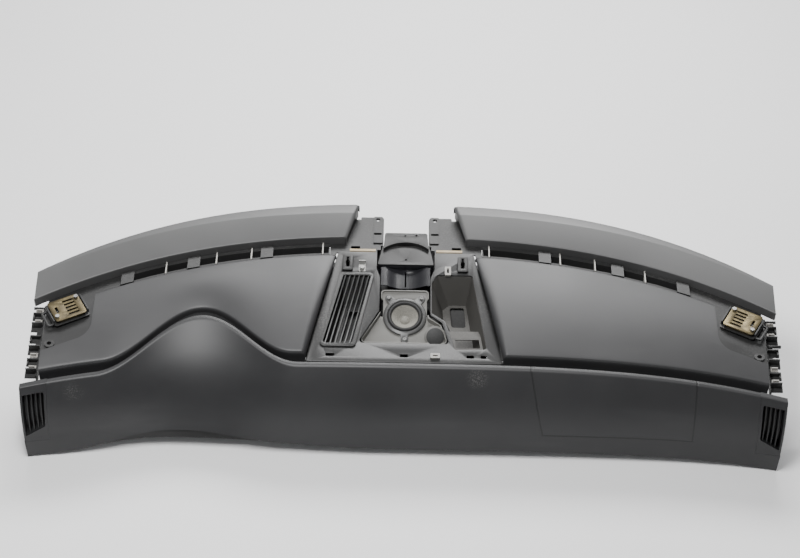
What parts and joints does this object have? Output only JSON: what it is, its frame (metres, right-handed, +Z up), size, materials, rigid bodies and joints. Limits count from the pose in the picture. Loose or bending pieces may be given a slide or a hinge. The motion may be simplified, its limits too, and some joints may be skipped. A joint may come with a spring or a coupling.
{
  "type": "car dashboard",
  "caption": "Padded dashboard top with a cowled instrument hood, open centre well with speaker and air outlets, demister slots and windscreen trims.",
  "frame": {"origin": "middle of the underside of the part's bounding box", "axes": "+X to the passenger side, across the car; +Y towards the windscreen; +Z up"},
  "size_m": [1.4466, 0.4804, 0.2397],
  "materials": {
    "front_skin": "fine grain, satin",
    "deck_skin": "fine grain, satin",
    "trim_skin": "smooth satin",
    "black_plastic": "moulded, matte",
    "duct_plastic": "moulded, matte",
    "well_plastic": "moulded, matte",
    "shelf_plastic": "moulded, matte",
    "pale_plastic": "moulded, matte",
    "gloss_black": "glossy",
    "beige_foam": "soft foam",
    "black_rubber": "soft rubber",
    "cone_paper": "pressed pulp, matte",
    "ferrite": "sintered, matte",
    "zinc_steel": "zinc plated",
    "bronze_steel": "yellow passivated"
  },
  "bodies": {
    "root": {"front_pad": "front_skin", "deck_pad_left": "deck_skin", "deck_pad_right": "deck_skin", "windscreen_trim_left": "trim_skin", "windscreen_trim_right": "trim_skin", "side_vent_left": "front_skin", "side_vent_right": "front_skin", "vent_vanes_left": "black_plastic", "vent_vanes_right": "black_plastic", "carrier": "black_plastic", "airbag_chute": "black_plastic", "demister_duct_left": "duct_plastic", "demister_duct_right": "duct_plastic", "demister_fins_left": "pale_plastic", "demister_fins_right": "pale_plastic", "trim_retainers_left": "black_plastic", "trim_retainers_right": "black_plastic", "foam_seal_left": "beige_foam", "foam_seal_right": "beige_foam", "well_frame": "well_plastic", "outlet_grille": "well_plastic", "outlet_box": "black_plastic", "duct_recess": "shelf_plastic", "speaker_baffle": "duct_plastic", "speaker_basket": "black_plastic", "speaker_surround": "black_rubber", "speaker_cone": "cone_paper", "speaker_dust_cap": "cone_paper", "speaker_magnet": "ferrite", "speaker_screws": "zinc_steel", "blanking_disc": "duct_plastic", "speaker_cowl": "gloss_black", "display_housing": "gloss_black", "display_cover": "black_plastic", "clip_sockets": "black_plastic", "upper_clip": "pale_plastic", "lower_clip": "pale_plastic", "strap_bracket": "zinc_steel", "strap_bolt": "zinc_steel", "end_bracket_left": "bronze_steel", "end_bracket_right": "bronze_steel", "bracket_block_left": "black_plastic", "bracket_block_right": "black_plastic", "bracket_bolts_left": "zinc_steel", "bracket_bolts_right": "zinc_steel", "end_rail_left": "black_plastic", "end_rail_right": "black_plastic", "rail_clips_left": "pale_plastic", "rail_clips_right": "pale_plastic", "locating_pin": "black_plastic"}
  },
  "joints": []
}
